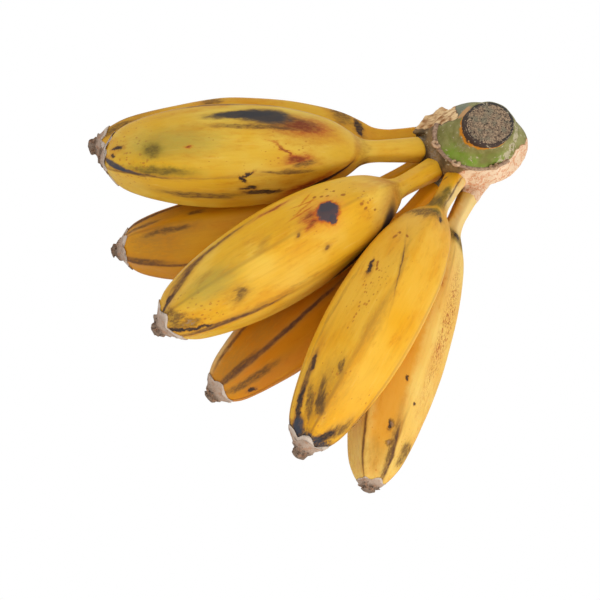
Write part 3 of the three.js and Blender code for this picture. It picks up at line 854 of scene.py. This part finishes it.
crown.normal_update()
for vert in crown.verts:
    spot = vert.co.copy()
    x, y, half_x, half_y = crown_ring(min(max(spot.z, 0), STALK_TOP))
    turn = math.degrees(math.atan2((spot.y - y) / half_y, (spot.x - x) / half_x)) % 360
    wobble = noise.noise(spot / 2.5)

    # Behind a slanting line at the left it is torn, down to the pedicels.
    ridge_line = 6.9 - 0.27 * (spot.x + 11.6) + 1.2 * wobble
    back = between(spot.y - ridge_line, -0.4, 0.6) * between(-6.5 - spot.x, -1, 1)
    torn = back * between(-12.5 - spot.x + wobble, -0.4, 0.4) * between(spot.z, 24, 30)

    # The dried rim of the cut end is widest at the lower left.
    face_x = spot.x - FACE_CENTRE[0]
    face_y = spot.y - FACE_CENTRE[1]
    disc = math.atan2(face_y / FACE_HALF[1], face_x / FACE_HALF[0])
    edge = math.hypot(FACE_HALF[0] * math.cos(disc), FACE_HALF[1] * math.sin(disc))
    from_rim = math.hypot(STALK_TOP - spot.z, max(math.hypot(face_x, face_y) - edge, 0))
    lower_left = max(0, math.cos(math.radians(turn - 222))) ** 1.5

    # Flesh is bare on the knife cuts below the cord, and in a lobe at the last pedicel's root.
    knife = max((spot - point).dot(facing) for point, facing in cuts)
    knife = between(knife + 0.3 * wobble, -0.85, -0.35) * between(41.5 + 1.5 * wobble - spot.z, 0, 1)
    along_root = (spot - last_root).dot(last_aim)
    near_root = (spot - last_root - along_root * last_aim).length
    lobe = between(9.5 - near_root, 0, 1.5) * between(along_root, -20, -14)
    knife = max(knife, lobe * between(spot.x + 10.5, 0, 2) * between(spot.z, 4, 9))

    # In front the green collar ends at the cord. At the right and behind it runs down lower.
    lower = max(12 * towards(turn, 30, 0.2, 0.6), 45 * towards(turn, 60, 0, 0.5, 0.2 * wobble))
    crack = min(to_segment(spot, *ends) for ends in zip(FLAKY_CRACK, FLAKY_CRACK[1:]))
    flake = between(5 - crack, 0, 3.6)
    values = {
        "collar": spot.z - SCAR_HEIGHT + lower,
        "rim": from_rim / (0.38 + 2.4 * lower_left),
        "rim_side": towards(turn, 235, 0.1, 0.5),
        "ledge": from_rim,
        "flesh": knife * (1 - torn),
        "torn": torn,
        "flake": flake,
        "front": towards(turn, 245, 0.2, 1),
        "back": back * between(spot.z + 6 * wobble, 37, 41),
    }
    for name, value in values.items():
        vert[layers[name]] = value
    fibre = noise.noise(Vector((spot.x / 4, spot.y / 1.6, spot.z / 2)))
    ragged = 0.45 * torn * fibre + 0.3 * knife * noise.noise(spot / 2)
    vert.co += vert.normal * (ragged + 0.5 * flake * noise.noise(spot))
for vert in crown.verts:
    vert.co += STALK

bark = new_material("banana_stalk")
tree = bark.node_tree
place = node(tree, "ShaderNodeTexCoord").outputs["Object"]
masks = {name: attribute(tree, name).outputs["Fac"] for name in layers}
fine = noise_of(tree, place, 900, 4, 0.6)
blotches = noise_of(tree, place, 160, 4, 0.6)
broad = noise_of(tree, place, 70, 3)
wavy = total(tree, noise_of(tree, place, 420, 4, 0.6), -0.5)

# Woody cushion between the cord and the pedicels, with a whitish bloom.
shade = mixed(tree, ranged(tree, blotches, 0.3, 0.7), "#4E3E26", "#94764A")
bloom = product(tree, ranged(tree, broad, 0.48, 0.7, 0.7), ranged(tree, fine, 0.35, 0.6))
shade = painted(tree, shade, "#A39C93", bloom)
# Below the fingers the stalk is a dull olive.
shade = painted(tree, shade, "#7E7A4C", ranged(tree, masks["collar"], -18, -26, 0.8))
# Green collar above the cord, brighter just above it in front, with pale bloom and brown specks.
green = mixed(tree, ranged(tree, blotches, 0.35, 0.7), "#767238", "#949058")
low = total(tree, masks["collar"], product(tree, wavy, 6.0))
bright = product(tree, masks["front"], ranged(tree, low, 8, 1.5, 0.85))
green = painted(tree, green, "#6E9A12", product(tree, bright, ranged(tree, broad, 0.35, 0.6)))
bloom = product(tree, ranged(tree, broad, 0.55, 0.72, 0.6), ranged(tree, fine, 0.4, 0.6))
green = painted(tree, green, "#B4AD9C", bloom)
green = painted(tree, green, "#6E4A30", ranged(tree, fine, 0.66, 0.75, 0.6))
shade = mixed(tree, ranged(tree, masks["collar"], -0.3, 0.5), shade, green)
# Behind the torn part the collar is blue-grey, with a tan strip along the rim.
shade = painted(tree, shade, "#737A70", product(tree, masks["back"], 0.7))
strip = total(tree, masks["ledge"], product(tree, wavy, 5.0))
strip = product(tree, masks["back"], ranged(tree, strip, 6.4, 5.0, 0.9))
shade = painted(tree, shade, "#C9965E", strip)
# The cut rim has dried black, with an orange line below it.
rim = total(tree, masks["rim"], product(tree, wavy, 1.9))
orange = product(tree, masks["rim_side"], ranged(tree, rim, 2.0, 1.6, 0.95))
shade = painted(tree, shade, "#CF841A", orange)
shade = painted(tree, shade, "#302C2E", ranged(tree, rim, 1.15, 0.95, 0.95))
# Dried flakes lift beside the crack.
flaky = total(tree, masks["flake"], product(tree, wavy, 5.0))
flaky = ranged(tree, flaky, 0.55, 0.8, 0.8)
shade = painted(tree, shade, "#BFB294", flaky)
shade = painted(tree, shade, "#6A543C", product(tree, flaky, ranged(tree, fine, 0.55, 0.65)))
# Cut flesh: pale, with reddish mottling and a dried brown edge.
flesh = mixed(tree, ranged(tree, broad, 0.35, 0.65), "#E2C2A0", "#EFD4B4")
reddish = noise_of(tree, place, 300, 6, 0.75)
flesh = painted(tree, flesh, "#C98048", ranged(tree, reddish, 0.5, 0.66, 0.5))
# Thin orange veins wander through it, where a coarse noise crosses its middle value.
swirl = maths(tree, "ABSOLUTE", total(tree, noise_of(tree, place, 230, 4, 0.6), -0.5))
flesh = painted(tree, flesh, "#C8682C", ranged(tree, swirl, 0.035, 0.005, 0.65))
flesh = painted(tree, flesh, "#96603A", ranged(tree, masks["flesh"], 0.95, 0.5, 0.9))
shade = mixed(tree, ranged(tree, masks["flesh"], 0.2, 0.5), shade, flesh)
# Torn flesh at the back: tan fibres, dark in their hollows.
fibrous = noise_of(tree, stretched(tree, place, (0.3, 1, 1)), 300, 5, 0.6)
torn = mixed(tree, ranged(tree, fibrous, 0.34, 0.6), "#9A683A", "#F0CE9A")
torn = painted(tree, torn, "#B0702C", ranged(tree, broad, 0.46, 0.62, 0.6))
torn = painted(tree, torn, "#4A3424", ranged(tree, masks["torn"], 0.98, 0.6, 0.9))
shade = mixed(tree, ranged(tree, masks["torn"], 0.2, 0.5), shade, torn)
relief = total(tree, blotches, product(tree, fibrous, 0.5))
surfaced(tree, shade, 0.68, relief, 0.5, 0.0008, [("Specular IOR Level", 0.3)])
finished(crown, "crown_stalk", bark, "crown")

# ---- Cut face ----
# The stalk was cut across, and its pith has dried brown and crumbly inside a thin pale ring.

FACE_HEIGHT = 53.9
FACE_RINGS = 34
FACE_SIDES = 120
# The face is a little domed, and has a groove just inside its edge.
DOME = 0.35
GROOVE_DEPTH = 0.25
GROOVE_RADIUS = 0.95
GROOVE_WIDTH = 0.02

rings = [(0, (i + 1) / FACE_RINGS) for i in range(FACE_RINGS)]
face = spun([(0, 0)] + rings + [(-1.5, 1.0)], FACE_SIDES)
across = face.verts.layers.float.new("across")
for vert in face.verts:
    drop, radius, turn = on_spun(vert)
    x = radius * math.cos(turn * math.tau)
    y = radius * math.sin(turn * math.tau)
    spot = Vector((FACE_CENTRE[0] + FACE_HALF[0] * x, FACE_CENTRE[1] + FACE_HALF[1] * y, FACE_HEIGHT))
    if drop == 0:
        grain = 0.28 * noise.noise(spot * 1.6) + 0.2 * noise.noise(spot * 0.5)
        groove = GROOVE_DEPTH * math.exp(-((radius - GROOVE_RADIUS) / GROOVE_WIDTH) ** 2)
        spot.z += grain - groove + DOME * (1 - radius ** 4)
    spot.z += drop
    vert[across] = radius if drop == 0 else 1.1
    vert.co = STALK + spot

pith = new_material("dried_pith")
tree = pith.node_tree
place = node(tree, "ShaderNodeTexCoord").outputs["Object"]
across = attribute(tree, "across").outputs["Fac"]
grain = noise_of(tree, place, 1300, 5, 0.75)
shade = mixed(tree, ranged(tree, grain, 0.38, 0.62), "#5C4A3C", "#BDA081")
shade = painted(tree, shade, "#7B7A66", ranged(tree, noise_of(tree, place, 220), 0.45, 0.65, 0.6))
pits = node(tree, "ShaderNodeTexVoronoi", [("Vector", place), ("Scale", 420)]).outputs["Distance"]
shade = painted(tree, shade, "#2B211B", ranged(tree, pits, 0.24, 0.14, 0.85))
pale_ring = product(tree, ranged(tree, across, 0.955, 0.97), ranged(tree, across, 1.0, 0.98, 0.7))
shade = painted(tree, shade, "#B89F84", pale_ring)
shade = painted(tree, shade, "#3A302A", ranged(tree, across, 0.985, 1.0, 0.9))
surfaced(tree, shade, 0.95, grain, 0.9, 0.0008)
finished(face, "cut_face", pith)

# ---- Scar cord ----
# A woody cord runs round the crown where a bract was attached, from the torn back round the front
# to the knife cut, with three stubs on it.

# The middle and half-widths of the oval that the cord follows, and the degrees it covers.
CORD_RING = (-2.4, 3.95, 20.3, 18.7)
CORD_FROM = 160
CORD_TO = 312
CORD_STEP = 1.5
STUBS = [198, 238, 288]
STUB_POINTS = 15


def woody(name, hollows, ridges):
    """Dry, fibrous scar wood: dull, with a grain about 1 mm across."""
    material = new_material(name)
    tree = material.node_tree
    place = node(tree, "ShaderNodeTexCoord").outputs["Object"]
    grain = noise_of(tree, place, 800, 4, 0.6)
    shade = mixed(tree, ranged(tree, grain, 0.35, 0.65), hollows, ridges)
    surfaced(tree, shade, 0.85, grain, 0.4, 0.0005)
    return material


scar = woody("woody_scar", "#866A56", "#B2937A")
dry_bract = woody("dry_bract", "#A98465", "#D2B08E")


def tube(path, widths, steps):
    """A round tube along a path of points, with a half-width at each, closed at both ends."""
    bm = spun([(0, 0)] + [(i, 1) for i in range(len(path))] + [(len(path) - 1, 0)], steps)
    for vert in bm.verts:
        i, radius, turn = on_spun(vert)
        i = round(i)
        turn *= math.tau
        along = (path[min(i + 1, len(path) - 1)] - path[max(i - 1, 0)]).normalized()
        side = along.cross(Vector((0.13, 0.2, 1))).normalized()
        up = side.cross(along)
        spot = path[i] + (side * math.cos(turn) + up * math.sin(turn)) * radius * widths[i]
        vert.co = spot + 0.08 * widths[i] * noise.noise_vector(spot / 2.5)
    return bm


def on_cord(degrees, out=0.0, up=0.0):
    """A point on the cord's middle line, or so far outside and above it."""
    x, y, half_x, half_y = CORD_RING
    turn = math.radians(degrees)
    wander = 0.35 * noise.noise(Vector((degrees / 9, 0, 0)))
    return STALK + Vector((x + (half_x + out + wander) * math.cos(turn),
                           y + (half_y + out + wander) * math.sin(turn), SCAR_HEIGHT + up + wander))


steps = int((CORD_TO - CORD_FROM) / CORD_STEP)
degrees = [CORD_FROM + i * CORD_STEP for i in range(steps + 1)]
# The cord is thickest at its left end and under each stub.
widths = []
for d in degrees:
    swell = max(math.exp(-((d - stub) / 3) ** 2) for stub in STUBS)
    widths.append(1.3 - 0.45 * between(d, 175, 230) + 0.3 * swell)
finished(tube([on_cord(d) for d in degrees], widths, 14), "scar_cord", scar)
# Each stub curls over the cord and thins towards its end.
thinning = [0.85 - 0.015 * k for k in range(STUB_POINTS)]
for i, stub in enumerate(STUBS):
    turns = [-0.9 + 0.36 * k for k in range(STUB_POINTS)]
    curl = [on_cord(stub + 4.4 * math.cos(t), 1.5 * math.sin(t) + 0.7, 1.6 + 0.6 * math.sin(t))
            for t in turns]
    finished(tube(curl, thinning, 10), f"bract_stub_{i + 1}", dry_bract)
